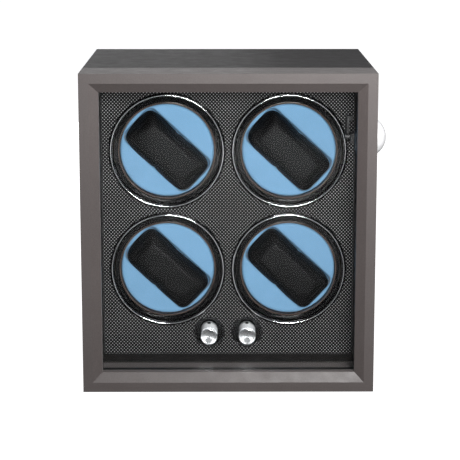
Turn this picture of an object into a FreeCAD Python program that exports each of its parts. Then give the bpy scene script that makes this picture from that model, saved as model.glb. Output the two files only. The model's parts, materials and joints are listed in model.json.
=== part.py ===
import FreeCAD, Part
import math
import os

from FreeCAD import Vector

# Watch winder box for four watches: a case with a hinged glass door, a fascia with four
# turning rotors behind chrome bezels, and two control knobs sunk in round pockets.
# X runs to the right, Y to the back and Z up, in millimetres. The origin is the middle of
# the footprint, on the surface that the box stands on.

# Overall sizes
WIDTH = 300.0
HEIGHT = 331.0
DEPTH = 240.0
WALL = 15.0
LINING = 1.0

# Foot strip under the case
FOOT_HEIGHT = 2.0
FOOT_WIDTH = 14.0
FOOT_INSET = 10.0

# Door frame and glass
DOOR_DEPTH = 52.0
SEAM_GAP = 0.8
FRAME_FLAT = 10.0
BEVEL_WIDTH = 9.5
BEVEL_DEPTH = 6.0
LIP_DEPTH = 8.0
GLASS_THICKNESS = 3.0
GLASS_CLEARANCE = 0.4
GASKET_WIDTH = 4.0
GASKET_DEPTH = 6.0

# Door hinges
HINGE_LENGTH = 50.0
HINGE_HEIGHT_SHARE = 0.19
LEAF_WIDTH = 12.0
LEAF_THICKNESS = 1.2
LEAF_PROUD = 0.2
KNUCKLE_RADIUS = 3.0
KNUCKLE_CLEARANCE = 0.5
KNUCKLE_GAP = 0.3
PIN_RADIUS = 1.5
PIN_HEAD_RADIUS = 2.4
PIN_HEAD_HEIGHT = 1.2

# Magnetic catch
MAGNET_RADIUS = 4.5
MAGNET_DEPTH = 4.0
STRIKER_DEPTH = 1.5
MAGNET_HEIGHT_SHARE = 0.12

# Fascia, battens and drive plate
FASCIA_SETBACK = 30.2
FASCIA_THICKNESS = 4.0
BATTEN_WIDTH = 12.0
FASCIA_TO_PLATE = 42.0
PLATE_THICKNESS = 4.0
PLATE_CLEARANCE = 2.0

# Rotor layout, as shares of the room inside the case
COLUMN_PITCH_SHARE = 0.48
CELL_WIDTH_SHARE = 0.477
CELL_HEIGHT_SHARE = 0.428
ROTOR_CENTRE_SHARE = 0.5266

# Bezel rings round the rotor holes
BEZEL_RADIUS_SHARE = 0.483
BEZEL_FOOT_WIDTH = 4.4
BEZEL_SLEEVE = 0.8
BEZEL_PROUD = 3.0
BEZEL_STEP = 0.8
BEZEL_BEAD_SHARE = 0.36

# Rotor cups
CUP_GAP = 0.8
CUP_SETBACK = 1.5
CUP_DEPTH = 33.5
CUP_RIM_DEPTH = 6.0
CUP_RIM_STEP = 3.2
CUP_FLOOR = 3.0
RIM_LAND = 2.0
RIM_GROOVE = 2.6
RIM_GROOVE_DEPTH = 3.0
RIM_INNER_LAND = 1.2

# Gear train
ROTOR_TEETH = 60
PINION_TEETH = 12
PRESSURE_ANGLE = math.radians(25.0)
ADDENDUM = 0.9
DEDENDUM = 1.25
BACKLASH = 0.3
GEAR_THICKNESS = 6.0
GEAR_WEB = 3.0
GEAR_RING = 6.0

# Rotor spindles and bearings
SPINDLE_RADIUS = 6.0
SPINDLE_BORE = 3.0
RUNNING_FIT = 0.05
BOSS_RADIUS = 8.0
END_PLAY = 0.3
BEARING_RADIUS = 9.0
BEARING_FLANGE_RADIUS = 12.0
BEARING_FLANGE = 2.0
BEARING_TAIL = 4.0
SNAP_LIP_RADIUS = 6.8
SNAP_LIP_LENGTH = 1.6

# Rotor pads and watch cushions
PAD_CLEARANCE = 0.3
PAD_SETBACK = 3.0
PAD_EDGE_ROUND = 2.0
SEAT_WIDTH_SHARE = 0.907
SEAT_DEPTH = 18.0
END_LIP = 4.4
END_LIP_DROP = 2.5
SEAT_CORNER_SHARE = 0.18
SEAT_TILT = 43.0
CUSHION_GAP = 0.8
CUSHION_THICKNESS = 28.5
CUSHION_CORNER_SHARE = 0.2

# Gear motors
SHAFT_RADIUS = 2.0
GEARBOX_RADIUS = 15.0
GEARBOX_LENGTH = 24.0
MOTOR_RADIUS = 12.0
MOTOR_LENGTH = 26.0
MOTOR_BOSS_RADIUS = 5.0
MOTOR_SCREW_CIRCLE = 10.5

# Control knobs, pockets and switches
KNOB_SPACING = 41.0
KNOB_HEIGHT = 40.0
KNOB_RADIUS = 9.2
KNOB_PROUD = 20.0
KNOB_CHAMFER = 1.0
KNOB_COLLAR = 4.0
KNOB_GROOVE = 0.5
POCKET_RADIUS = 14.5
POCKET_WALL = 1.2
POCKET_DEPTH = 16.0
POCKET_FLOOR = 2.0
POCKET_RIM_WIDTH = 1.0
POCKET_RIM_PROUD = 0.6
STEM_RADIUS = 3.0
SWITCH_BODY = 16.0
SWITCH_DEPTH = 9.0
BUSH_RADIUS = 4.5
BUSH_LENGTH = 6.0
NUT_FLATS = 11.0
NUT_THICKNESS = 2.0
INDICATOR_WIDTH = 1.2
INDICATOR_LENGTH = 5.0
INDICATOR_DEPTH = 0.8

# Control board
BOARD_WIDTH = 88.0
BOARD_HEIGHT = 30.0
BOARD_THICKNESS = 1.6
BOARD_CHIP = 12.0
BOARD_CHIP_HEIGHT = 3.0

# Side lock
LOCK_RING_CLEARANCE = 1.0
LOCK_HEIGHT_SHARE = 0.773
LOCK_DOME_RADIUS = 20.4
LOCK_DOME_HEIGHT = 13.5
LOCK_DOME_BASE = 1.0
LOCK_SHELL = 3.0
LOCK_FLANGE_RADIUS = 21.2
LOCK_FLANGE = 1.2
LOCK_GAP = 0.4
LOCK_SHAFT_RADIUS = 4.0
LOCK_BUSH_RADIUS = 6.0
PAWL_HUB_RADIUS = 5.0
PAWL_THICKNESS = 2.6
PAWL_WIDTH = 7.0
PAWL_LENGTH = 22.0
PAWL_LUG = 4.6
STRIKE_THICKNESS = 2.0
STRIKE_LINING_GAP = 0.6
STRIKE_LUG_REACH = 3.6
STRIKE_LUG_DEPTH = 4.0
STRIKE_HALF_HEIGHT = 5.0
STRIKE_BASE_DEPTH = 15.0
STRIKE_BASE_INSET = 1.0
PAWL_CLEARANCE = 0.6

# Back panel and power inlet
PANEL_THICKNESS = 6.0
PANEL_RECESS = 2.0
REBATE_WIDTH = 8.0
PANEL_CLEARANCE = 0.3
VENT_COUNT = 7
VENT_LENGTH = 70.0
VENT_WIDTH = 3.0
VENT_PITCH = 8.0
JACK_OFFSET = 90.0
JACK_HEIGHT = 42.0
JACK_BARREL_RADIUS = 5.5
JACK_FLANGE_RADIUS = 7.5
JACK_FLANGE = 1.2
JACK_LENGTH = 16.0
JACK_BORE_RADIUS = 2.9
JACK_BORE_DEPTH = 9.5
JACK_PIN_RADIUS = 1.0

# Screws
SCREW_RADIUS = 1.5
SCREW_HEAD_RADIUS = 3.0
SCREW_HEAD_HEIGHT = 1.5
SCREW_LENGTH = 16.0
MACHINE_SCREW_BITE = 5.0
WOOD_SCREW_BITE = 10.0
HINGE_SCREW_RADIUS = 1.1
HINGE_SCREW_HEAD = 2.2
LEAF_SCREW_SHARE = 0.62
HINGE_SCREW_SHARES = (0.2, 0.8)
PLATE_SCREW_SHARES = (0.08, 0.5, 0.92)

# Places worked out from the sizes
BOTTOM = FOOT_HEIGHT
TOP = BOTTOM + HEIGHT
DOOR_FRONT = -DEPTH / 2.0
DOOR_BACK = DOOR_FRONT + DOOR_DEPTH
CASE_FRONT = DOOR_BACK + SEAM_GAP
CASE_BACK = DEPTH / 2.0
HINGE_X = -WIDTH / 2.0
HINGE_Y = (DOOR_BACK + CASE_FRONT) / 2.0
INNER_X = WIDTH / 2.0 - WALL
INNER_WIDTH = 2.0 * INNER_X
INNER_HEIGHT = HEIGHT - 2.0 * WALL
FRAME_INSET = FRAME_FLAT + BEVEL_WIDTH
MITRE_REACH = FRAME_INSET + WALL
GLASS_FRONT = DOOR_FRONT + BEVEL_DEPTH + LIP_DEPTH
GLASS_BACK = GLASS_FRONT + GLASS_THICKNESS

FASCIA_FRONT = CASE_FRONT + FASCIA_SETBACK
FASCIA_BACK = FASCIA_FRONT + FASCIA_THICKNESS
PLATE_FRONT = FASCIA_BACK + FASCIA_TO_PLATE
PLATE_BACK = PLATE_FRONT + PLATE_THICKNESS
PANEL_BACK = CASE_BACK - PANEL_RECESS
PANEL_FRONT = PANEL_BACK - PANEL_THICKNESS

ROTOR_CELL = min(CELL_WIDTH_SHARE * INNER_WIDTH, CELL_HEIGHT_SHARE * INNER_HEIGHT)
COLUMN_X = COLUMN_PITCH_SHARE * INNER_WIDTH / 2.0
ROTOR_MID_Z = BOTTOM + ROTOR_CENTRE_SHARE * HEIGHT
ROTOR_UP = ROTOR_CELL / 2.0
ROTORS = {
    "top_left": (-COLUMN_X, ROTOR_MID_Z + ROTOR_UP),
    "top_right": (COLUMN_X, ROTOR_MID_Z + ROTOR_UP),
    "bottom_left": (-COLUMN_X, ROTOR_MID_Z - ROTOR_UP),
    "bottom_right": (COLUMN_X, ROTOR_MID_Z - ROTOR_UP),
}
COLUMNS = {"left": -COLUMN_X, "right": COLUMN_X}

BEZEL_RADIUS = BEZEL_RADIUS_SHARE * ROTOR_CELL
HOLE_RADIUS = BEZEL_RADIUS - BEZEL_FOOT_WIDTH
CUP_RADIUS = HOLE_RADIUS - BEZEL_SLEEVE - CUP_GAP
CUP_BORE = CUP_RADIUS - RIM_LAND - RIM_GROOVE - RIM_INNER_LAND
CUP_FRONT = FASCIA_FRONT + CUP_SETBACK
CUP_BACK = CUP_FRONT + CUP_DEPTH
GEAR_BACK = CUP_BACK + GEAR_THICKNESS
MODULE = ROTOR_CELL / (ROTOR_TEETH + PINION_TEETH)
PAD_RADIUS = CUP_BORE - PAD_CLEARANCE
PAD_FRONT = CUP_FRONT + PAD_SETBACK
PAD_BACK = CUP_BACK - CUP_FLOOR
SEAT_FLOOR = PAD_FRONT + SEAT_DEPTH
SEAT_LENGTH = 2.0 * (PAD_RADIUS - END_LIP)
SEAT_WIDTH = SEAT_WIDTH_SHARE * PAD_RADIUS
CUSHION_LENGTH = SEAT_LENGTH - 2.0 * CUSHION_GAP
CUSHION_WIDTH = SEAT_WIDTH - 2.0 * CUSHION_GAP

KNOB_Z = BOTTOM + KNOB_HEIGHT
KNOBS = {"left": -KNOB_SPACING / 2.0, "right": KNOB_SPACING / 2.0}
POCKET_BACK = FASCIA_FRONT + POCKET_DEPTH + POCKET_FLOOR
SWITCH_BACK = POCKET_BACK + SWITCH_DEPTH
BUSH_FRONT = POCKET_BACK - BUSH_LENGTH

LOCK_Y = FASCIA_FRONT - BEZEL_PROUD - PAWL_HUB_RADIUS - LOCK_RING_CLEARANCE
LOCK_Z = BOTTOM + LOCK_HEIGHT_SHARE * HEIGHT
LINING_X = INNER_X - LINING
STRIKE_OUT = LINING_X - STRIKE_LINING_GAP
STRIKE_IN = STRIKE_OUT - STRIKE_THICKNESS
STRIKE_LUG_IN = STRIKE_IN - STRIKE_LUG_REACH
PAWL_OUT = STRIKE_LUG_IN - PAWL_CLEARANCE
PAWL_IN = PAWL_OUT - PAWL_THICKNESS
PAWL_LUG_INNER = PAWL_LENGTH - PAWL_LUG
STRIKE_LUG_CORNER = PAWL_LUG_INNER - PAWL_CLEARANCE
STRIKE_LUG_FRONT = LOCK_Y - math.sqrt(STRIKE_LUG_CORNER ** 2 - STRIKE_HALF_HEIGHT ** 2)
STRIKE_LUG_BACK = STRIKE_LUG_FRONT + STRIKE_LUG_DEPTH

SIDES = ("bottom", "right", "top", "left")


def box(x0, x1, y0, y1, z0, z1):
    return Part.makeBox(x1 - x0, y1 - y0, z1 - z0, Vector(x0, y0, z0))


def rod_y(x, z, radius, y0, y1):
    return Part.makeCylinder(radius, y1 - y0, Vector(x, y0, z), Vector(0, 1, 0))


def rod_x(y, z, radius, x0, x1):
    return Part.makeCylinder(radius, x1 - x0, Vector(x0, y, z), Vector(1, 0, 0))


def rod_z(x, y, radius, z0, z1):
    return Part.makeCylinder(radius, z1 - z0, Vector(x, y, z0))


def prism_y(points, y0, y1):
    """Block with an outline of (x, z) points, running from y0 to y1."""
    corners = [Vector(x, y0, z) for x, z in points]
    face = Part.Face(Part.makePolygon(corners + corners[:1]))
    return face.extrude(Vector(0, y1 - y0, 0))


def turned_y(x, z, profile):
    """Round piece about a line along Y at (x, z), from closed (radius, y) points."""
    corners = [Vector(x + radius, y, z) for radius, y in profile]
    face = Part.Face(Part.makePolygon(corners + corners[:1]))
    return face.revolve(Vector(x, 0, z), Vector(0, 1, 0), 360.0)


def hexagon_y(x, z, flats, y0, y1):
    radius = flats / math.sqrt(3.0)
    points = []
    for step in range(6):
        angle = math.radians(60.0 * step)
        points.append((x + radius * math.cos(angle), z + radius * math.sin(angle)))
    return prism_y(points, y0, y1)


def ring_block(inset_out, inset_in, y0, y1):
    """Rectangular ring of the box outline, between two insets from the outside."""
    return inset_block(inset_out, y0, y1).cut(inset_block(inset_in, y0, y1))


def inset_block(inset, y0, y1):
    half = WIDTH / 2.0 - inset
    return box(-half, half, y0, y1, BOTTOM + inset, TOP - inset)


def inset_corners(inset):
    half = WIDTH / 2.0 - inset
    low = BOTTOM + inset
    high = TOP - inset
    return [(-half, low), (half, low), (half, high), (-half, high)]


def mitre_block(side, inset, y0, y1):
    """One side of the box outline with mitred ends, as wide as the inset."""
    first = SIDES.index(side)
    second = (first + 1) % len(SIDES)
    outer = inset_corners(0.0)
    inner = inset_corners(inset)
    points = [outer[first], outer[second], inner[second], inner[first]]
    return prism_y(points, y0, y1)


def group(solids):
    return Part.makeCompound(solids)


def save(name, shape):
    shape.exportStep("parts/" + name + ".step")


def hinge_spans():
    """Lower and upper ends of the two hinges."""
    share = HINGE_HEIGHT_SHARE * HEIGHT
    middles = (BOTTOM + share, TOP - share)
    return [(mid - HINGE_LENGTH / 2.0, mid + HINGE_LENGTH / 2.0) for mid in middles]


def hinge_screw_places():
    places = []
    for low, high in hinge_spans():
        for share in HINGE_SCREW_SHARES:
            places.append((HINGE_X + LEAF_SCREW_SHARE * LEAF_WIDTH, low + share * (high - low)))
    return places


def leaf_faces(owner):
    """Sunk and open faces of a leaf: y of each, and the direction into the wood."""
    if owner == "door":
        return DOOR_BACK + LEAF_PROUD, -1.0
    return CASE_FRONT - LEAF_PROUD, 1.0


def hinge_sinking(owner):
    """Wood taken out of the left side of the door or the case for the hinges."""
    open_y, into = leaf_faces(owner)
    sunk_y = open_y + into * LEAF_THICKNESS
    low_y = min(open_y, sunk_y)
    high_y = max(open_y, sunk_y)
    cuts = []
    for low, high in hinge_spans():
        space = KNUCKLE_CLEARANCE
        radius = KNUCKLE_RADIUS + space
        ends = PIN_HEAD_HEIGHT + space
        cuts.append(rod_z(HINGE_X, HINGE_Y, radius, low - ends, high + ends))
        cuts.append(box(HINGE_X, HINGE_X + LEAF_WIDTH, low_y, high_y, low, high))
    for x, z in hinge_screw_places():
        tip_y = sunk_y + into * WOOD_SCREW_BITE
        cuts.append(rod_y(x, z, HINGE_SCREW_RADIUS, min(sunk_y, tip_y), max(sunk_y, tip_y)))
    return group(cuts)


def hinge_knuckle_bands(low, high):
    third = (high - low) / 3.0
    half_gap = KNUCKLE_GAP / 2.0
    return {
        "door": [(low + third + half_gap, high - third - half_gap)],
        "case": [(low, low + third - half_gap), (high - third + half_gap, high)],
    }


def screw_cone(x, z, open_y, into):
    return Part.makeCone(
        HINGE_SCREW_HEAD, HINGE_SCREW_RADIUS, LEAF_THICKNESS,
        Vector(x, open_y, z), Vector(0, into, 0))


def hinge_leaves(owner):
    open_y, into = leaf_faces(owner)
    sunk_y = open_y + into * LEAF_THICKNESS
    low_y = min(open_y, sunk_y)
    high_y = max(open_y, sunk_y)
    clear = KNUCKLE_RADIUS + KNUCKLE_GAP
    leaves = []
    for low, high in hinge_spans():
        leaf = box(HINGE_X, HINGE_X + LEAF_WIDTH, low_y, high_y, low, high)
        leaf = leaf.cut(rod_z(HINGE_X, HINGE_Y, clear, low, high))
        for start, end in hinge_knuckle_bands(low, high)[owner]:
            web = box(HINGE_X, HINGE_X + clear + KNUCKLE_GAP, low_y, high_y, start, end)
            leaf = leaf.fuse([rod_z(HINGE_X, HINGE_Y, KNUCKLE_RADIUS, start, end), web])
        bore = PIN_RADIUS + RUNNING_FIT
        leaf = leaf.cut(rod_z(HINGE_X, HINGE_Y, bore, low, high))
        for x, z in hinge_screw_places():
            if low < z < high:
                leaf = leaf.cut(screw_cone(x, z, open_y, into))
        leaves.append(leaf.removeSplitter())
    return group(leaves)


def hinge_screws(owner):
    open_y, into = leaf_faces(owner)
    sunk_y = open_y + into * LEAF_THICKNESS
    tip_y = sunk_y + into * WOOD_SCREW_BITE
    screws = []
    for x, z in hinge_screw_places():
        shank = rod_y(x, z, HINGE_SCREW_RADIUS, min(sunk_y, tip_y), max(sunk_y, tip_y))
        screws.append(screw_cone(x, z, open_y, into).fuse(shank))
    return group(screws)


def hinge_pins():
    pins = []
    for low, high in hinge_spans():
        pin = rod_z(HINGE_X, HINGE_Y, PIN_RADIUS, low, high)
        lower = rod_z(HINGE_X, HINGE_Y, PIN_HEAD_RADIUS, low - PIN_HEAD_HEIGHT, low)
        upper = rod_z(HINGE_X, HINGE_Y, PIN_HEAD_RADIUS, high, high + PIN_HEAD_HEIGHT)
        pins.append(pin.fuse([lower, upper]))
    return group(pins)


def magnet_places():
    share = MAGNET_HEIGHT_SHARE * HEIGHT
    return [(WIDTH / 2.0 - WALL / 2.0, z) for z in (BOTTOM + share, TOP - share)]


def magnets(y0, y1):
    return group([rod_y(x, z, MAGNET_RADIUS, y0, y1) for x, z in magnet_places()])


def pan_screw(x, z, seat_y):
    """Screw driven towards the front, its head standing on the plane at seat_y."""
    head = rod_y(x, z, SCREW_HEAD_RADIUS, seat_y, seat_y + SCREW_HEAD_HEIGHT)
    return head.fuse(screw_hole(x, z, seat_y))


def screw_hole(x, z, seat_y):
    return rod_y(x, z, SCREW_RADIUS, seat_y - SCREW_LENGTH, seat_y)


def panel_screw_places():
    inset = WALL - REBATE_WIDTH / 2.0
    x = WIDTH / 2.0 - inset
    mid_z = (BOTTOM + TOP) / 2.0
    rows = (BOTTOM + inset, TOP - inset)
    corners = [(side * x, z) for side in (-1.0, 1.0) for z in rows]
    return corners + [(-x, mid_z), (x, mid_z), (0.0, rows[0]), (0.0, rows[1])]


def plate_screw_places():
    x = INNER_X - BATTEN_WIDTH / 2.0
    heights = [BOTTOM + WALL + share * INNER_HEIGHT for share in PLATE_SCREW_SHARES]
    return [(side * x, z) for side in (-1.0, 1.0) for z in heights]


def case_board(side):
    board = mitre_block(side, WALL, CASE_FRONT, CASE_BACK)
    rebate = inset_block(WALL - REBATE_WIDTH, PANEL_FRONT, CASE_BACK)
    board = board.cut(rebate)
    for x, z in panel_screw_places():
        board = board.cut(screw_hole(x, z, PANEL_BACK))
    if side == "left":
        board = board.cut(hinge_sinking("case"))
    if side == "right":
        board = board.cut(magnets(CASE_FRONT, CASE_FRONT + MAGNET_DEPTH))
        board = board.cut(rod_x(LOCK_Y, LOCK_Z, LOCK_BUSH_RADIUS, INNER_X, WIDTH / 2.0))
    return board


def door_frame():
    """Whole door frame before it is cut into its four mitred lengths."""
    frame = inset_block(0.0, DOOR_FRONT, DOOR_BACK)
    frame = frame.cut(inset_block(WALL, GLASS_FRONT, DOOR_BACK))
    frame = frame.cut(inset_block(FRAME_INSET, DOOR_FRONT, DOOR_BACK))
    loops = []
    for inset, y in ((FRAME_FLAT, DOOR_FRONT), (FRAME_INSET, DOOR_FRONT + BEVEL_DEPTH)):
        corners = [Vector(x, y, z) for x, z in inset_corners(inset)]
        loops.append(Part.makePolygon(corners + corners[:1]))
    return frame.cut(Part.makeLoft(loops, True, True))


def door_length(side):
    rail = door_frame().common(mitre_block(side, MITRE_REACH, DOOR_FRONT, DOOR_BACK))
    if side == "left":
        rail = rail.cut(hinge_sinking("door"))
    if side == "right":
        rail = rail.cut(magnets(DOOR_BACK - STRIKER_DEPTH, DOOR_BACK))
    return rail


def door_glass():
    return inset_block(WALL + GLASS_CLEARANCE, GLASS_FRONT, GLASS_BACK)


def glass_gasket():
    return ring_block(WALL, WALL + GASKET_WIDTH, GLASS_BACK, GLASS_BACK + GASKET_DEPTH)


def interior_lining():
    lining = ring_block(WALL, WALL + LINING, CASE_FRONT, FASCIA_FRONT)
    return lining.cut(rod_x(LOCK_Y, LOCK_Z, LOCK_BUSH_RADIUS, LINING_X, INNER_X))


def foot_strip():
    """Flat rubber strip that runs round the underside of the case."""
    x = WIDTH / 2.0 - FOOT_INSET
    front = CASE_FRONT + FOOT_INSET
    back = CASE_BACK - FOOT_INSET
    strip = box(-x, x, front, back, 0.0, FOOT_HEIGHT)
    inner = x - FOOT_WIDTH
    hollow = box(-inner, inner, front + FOOT_WIDTH, back - FOOT_WIDTH, 0.0, FOOT_HEIGHT)
    return strip.cut(hollow)


def battens():
    strips = []
    for x0 in (-INNER_X, INNER_X - BATTEN_WIDTH):
        strip = box(x0, x0 + BATTEN_WIDTH, FASCIA_BACK, PLATE_FRONT, BOTTOM + WALL, TOP - WALL)
        for x, z in plate_screw_places():
            strip = strip.cut(screw_hole(x, z, PLATE_BACK))
        strips.append(strip)
    return group(strips)


def fascia_panel():
    panel = inset_block(WALL, FASCIA_FRONT, FASCIA_BACK)
    for x, z in ROTORS.values():
        panel = panel.cut(rod_y(x, z, HOLE_RADIUS, FASCIA_FRONT, FASCIA_BACK))
    for x in KNOBS.values():
        radius = POCKET_RADIUS + POCKET_WALL
        panel = panel.cut(rod_y(x, KNOB_Z, radius, FASCIA_FRONT, FASCIA_BACK))
    return panel


def bezel_ring(x, z):
    """Ring with a round bead on the front and a sleeve through the fascia."""
    inner = HOLE_RADIUS - BEZEL_SLEEVE
    bead_mid = BEZEL_RADIUS - BEZEL_FOOT_WIDTH * BEZEL_BEAD_SHARE
    front = FASCIA_FRONT
    shoulder = front - BEZEL_STEP
    points = [
        Vector(x + inner, shoulder, z),
        Vector(x + inner, FASCIA_BACK, z),
        Vector(x + HOLE_RADIUS, FASCIA_BACK, z),
        Vector(x + HOLE_RADIUS, front, z),
        Vector(x + BEZEL_RADIUS, front, z),
        Vector(x + BEZEL_RADIUS, shoulder, z),
    ]
    flats = Part.makePolygon(points)
    bead_start = points[-1]
    bead_top = Vector(x + bead_mid, front - BEZEL_PROUD, z)
    bead_end = Vector(x + 2.0 * bead_mid - BEZEL_RADIUS, shoulder, z)
    bead = Part.Arc(bead_start, bead_top, bead_end).toShape()
    closing = Part.makeLine(bead_end, points[0])
    face = Part.Face(Part.Wire(flats.Edges + [bead, closing]))
    return face.revolve(Vector(x, 0, z), Vector(0, 1, 0), 360.0)


def drive_plate():
    low = BOTTOM + WALL + PLATE_CLEARANCE
    high = TOP - WALL - PLATE_CLEARANCE
    plate = box(-INNER_X, INNER_X, PLATE_FRONT, PLATE_BACK, low, high)
    for x, z in ROTORS.values():
        plate = plate.cut(rod_y(x, z, BEARING_RADIUS, PLATE_FRONT, PLATE_BACK))
    for x in COLUMNS.values():
        plate = plate.cut(rod_y(x, ROTOR_MID_Z, MOTOR_BOSS_RADIUS, PLATE_FRONT, PLATE_BACK))
    for x, z in plate_screw_places() + motor_screw_places():
        plate = plate.cut(rod_y(x, z, SCREW_RADIUS, PLATE_FRONT, PLATE_BACK))
    return plate


def motor_screw_places():
    offsets = (-MOTOR_SCREW_CIRCLE, MOTOR_SCREW_CIRCLE)
    return [(x + offset, ROTOR_MID_Z) for x in COLUMNS.values() for offset in offsets]


def motor_screws():
    screws = []
    for x, z in motor_screw_places():
        head_front = PLATE_FRONT - SCREW_HEAD_HEIGHT
        head = rod_y(x, z, SCREW_HEAD_RADIUS, head_front, PLATE_FRONT)
        shank = rod_y(x, z, SCREW_RADIUS, PLATE_FRONT, PLATE_BACK + MACHINE_SCREW_BITE)
        screws.append(head.fuse(shank))
    return group(screws)


def gear_motor(x):
    gearbox_back = PLATE_BACK + GEARBOX_LENGTH
    motor_back = gearbox_back + MOTOR_LENGTH
    gearbox = rod_y(x, ROTOR_MID_Z, GEARBOX_RADIUS, PLATE_BACK, gearbox_back)
    boss = rod_y(x, ROTOR_MID_Z, MOTOR_BOSS_RADIUS, PLATE_FRONT, PLATE_BACK)
    can = rod_y(x, ROTOR_MID_Z, MOTOR_RADIUS, gearbox_back, motor_back)
    motor = gearbox.fuse([boss, can])
    bore = SHAFT_RADIUS + RUNNING_FIT
    motor = motor.cut(rod_y(x, ROTOR_MID_Z, bore, PLATE_FRONT, gearbox_back))
    for screw_x, z in motor_screw_places():
        end = PLATE_BACK + MACHINE_SCREW_BITE
        motor = motor.cut(rod_y(screw_x, z, SCREW_RADIUS, PLATE_BACK, end))
    return motor


def involute(angle):
    return math.tan(angle) - angle


def gear_outline(x, z, teeth, first_angle):
    """Straight-flanked outline through involute points, as (x, z) points."""
    pitch_radius = MODULE * teeth / 2.0
    base_radius = pitch_radius * math.cos(PRESSURE_ANGLE)
    tip = pitch_radius + ADDENDUM * MODULE
    root = pitch_radius - DEDENDUM * MODULE
    thickness = math.pi * MODULE / 2.0 - BACKLASH
    half_at_pitch = thickness / (2.0 * pitch_radius)
    flank = []
    for radius in (root, pitch_radius, tip):
        roll = math.acos(min(1.0, base_radius / radius))
        half = half_at_pitch + involute(PRESSURE_ANGLE) - involute(roll)
        flank.append((radius, half))
    points = []
    for tooth in range(teeth):
        middle = first_angle + 2.0 * math.pi * tooth / teeth
        rising = [(radius, middle - half) for radius, half in flank]
        falling = [(radius, middle + half) for radius, half in reversed(flank)]
        for radius, angle in rising + falling:
            points.append((x + radius * math.cos(angle), z + radius * math.sin(angle)))
    return points


def rotor_cup(x, z):
    """Drum with a grooved rim and a hollow spindle that snaps through its bearing."""
    wall_radius = CUP_RADIUS - CUP_RIM_STEP
    rim_back = CUP_FRONT + CUP_RIM_DEPTH
    groove_out = CUP_RADIUS - RIM_LAND
    groove_in = groove_out - RIM_GROOVE
    groove_back = CUP_FRONT + RIM_GROOVE_DEPTH
    boss_back = PLATE_FRONT - BEARING_FLANGE - END_PLAY
    lip_front = PLATE_BACK + BEARING_TAIL + END_PLAY
    lip_back = lip_front + SNAP_LIP_LENGTH
    profile = [
        (0.0, PAD_BACK),
        (CUP_BORE, PAD_BACK),
        (CUP_BORE, CUP_FRONT),
        (groove_in, CUP_FRONT),
        (groove_in, groove_back),
        (groove_out, groove_back),
        (groove_out, CUP_FRONT),
        (CUP_RADIUS, CUP_FRONT),
        (CUP_RADIUS, rim_back),
        (wall_radius, rim_back),
        (wall_radius, CUP_BACK),
        (BOSS_RADIUS, CUP_BACK),
        (BOSS_RADIUS, boss_back),
        (SPINDLE_RADIUS, boss_back),
        (SPINDLE_RADIUS, lip_front),
        (SNAP_LIP_RADIUS, lip_front),
        (SNAP_LIP_RADIUS, lip_back),
        (SPINDLE_BORE, lip_back),
        (SPINDLE_BORE, CUP_BACK),
        (0.0, CUP_BACK),
    ]
    return turned_y(x, z, profile)


def rotor_gear(x, z):
    """Spur gear seated against the back of the cup, on its boss."""
    gear = prism_y(gear_outline(x, z, ROTOR_TEETH, math.pi / 2.0), CUP_BACK, GEAR_BACK)
    web_back = CUP_BACK + GEAR_WEB
    relief = rod_y(x, z, MODULE * ROTOR_TEETH / 2.0 - GEAR_RING, web_back, GEAR_BACK)
    relief = relief.cut(rod_y(x, z, BOSS_RADIUS + GEAR_WEB, web_back, GEAR_BACK))
    return gear.cut([relief, rod_y(x, z, BOSS_RADIUS, CUP_BACK, GEAR_BACK)])


def rotor_bearing(x, z):
    bore = SPINDLE_RADIUS + RUNNING_FIT
    flange_front = PLATE_FRONT - BEARING_FLANGE
    tail = PLATE_BACK + BEARING_TAIL
    profile = [
        (bore, flange_front),
        (BEARING_FLANGE_RADIUS, flange_front),
        (BEARING_FLANGE_RADIUS, PLATE_FRONT),
        (BEARING_RADIUS, PLATE_FRONT),
        (BEARING_RADIUS, tail),
        (bore, tail),
    ]
    return turned_y(x, z, profile)


def tilted(shape, x, z):
    """Lays a piece along the seat that falls to the lower right of a rotor."""
    shape.rotate(Vector(x, 0, z), Vector(0, 1, 0), SEAT_TILT)
    return shape


def edges_along_y(shape):
    return [edge for edge in shape.Edges if edge.BoundBox.XLength + edge.BoundBox.ZLength < 1e-6]


def rotor_pad(x, z):
    """Disc with a sunk seat for the cushion and a lower lip at each end of it."""
    half_length = SEAT_LENGTH / 2.0
    half_width = SEAT_WIDTH / 2.0
    low = z - half_width
    high = z + half_width
    pad = rod_y(x, z, PAD_RADIUS, PAD_FRONT, PAD_BACK)
    lips = box(x - PAD_RADIUS, x + PAD_RADIUS, PAD_FRONT, PAD_FRONT + END_LIP_DROP, low, high)
    pad = pad.cut(lips)
    front_edges = [edge for edge in pad.Edges if edge.BoundBox.YMax < PAD_FRONT + 1e-6]
    pad = pad.makeFillet(PAD_EDGE_ROUND, front_edges)
    seat = box(x - half_length, x + half_length, PAD_FRONT, SEAT_FLOOR, low, high)
    seat = seat.makeFillet(SEAT_CORNER_SHARE * SEAT_WIDTH, edges_along_y(seat))
    return tilted(pad.cut(seat), x, z)


def watch_cushion(x, z):
    half_length = CUSHION_LENGTH / 2.0
    half_width = CUSHION_WIDTH / 2.0
    front = SEAT_FLOOR - CUSHION_THICKNESS
    block = box(x - half_length, x + half_length, front, SEAT_FLOOR, z - half_width, z + half_width)
    return tilted(block.makeFillet(CUSHION_CORNER_SHARE * CUSHION_WIDTH, block.Edges), x, z)


def pinion_shaft(x):
    tooth_angle = math.pi / 2.0 + math.pi / PINION_TEETH
    outline = gear_outline(x, ROTOR_MID_Z, PINION_TEETH, tooth_angle)
    pinion = prism_y(outline, CUP_BACK + END_PLAY, GEAR_BACK + END_PLAY)
    shaft_back = PLATE_BACK + GEARBOX_LENGTH - END_PLAY
    shaft = rod_y(x, ROTOR_MID_Z, SHAFT_RADIUS, GEAR_BACK, shaft_back)
    return pinion.fuse(shaft)


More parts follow.
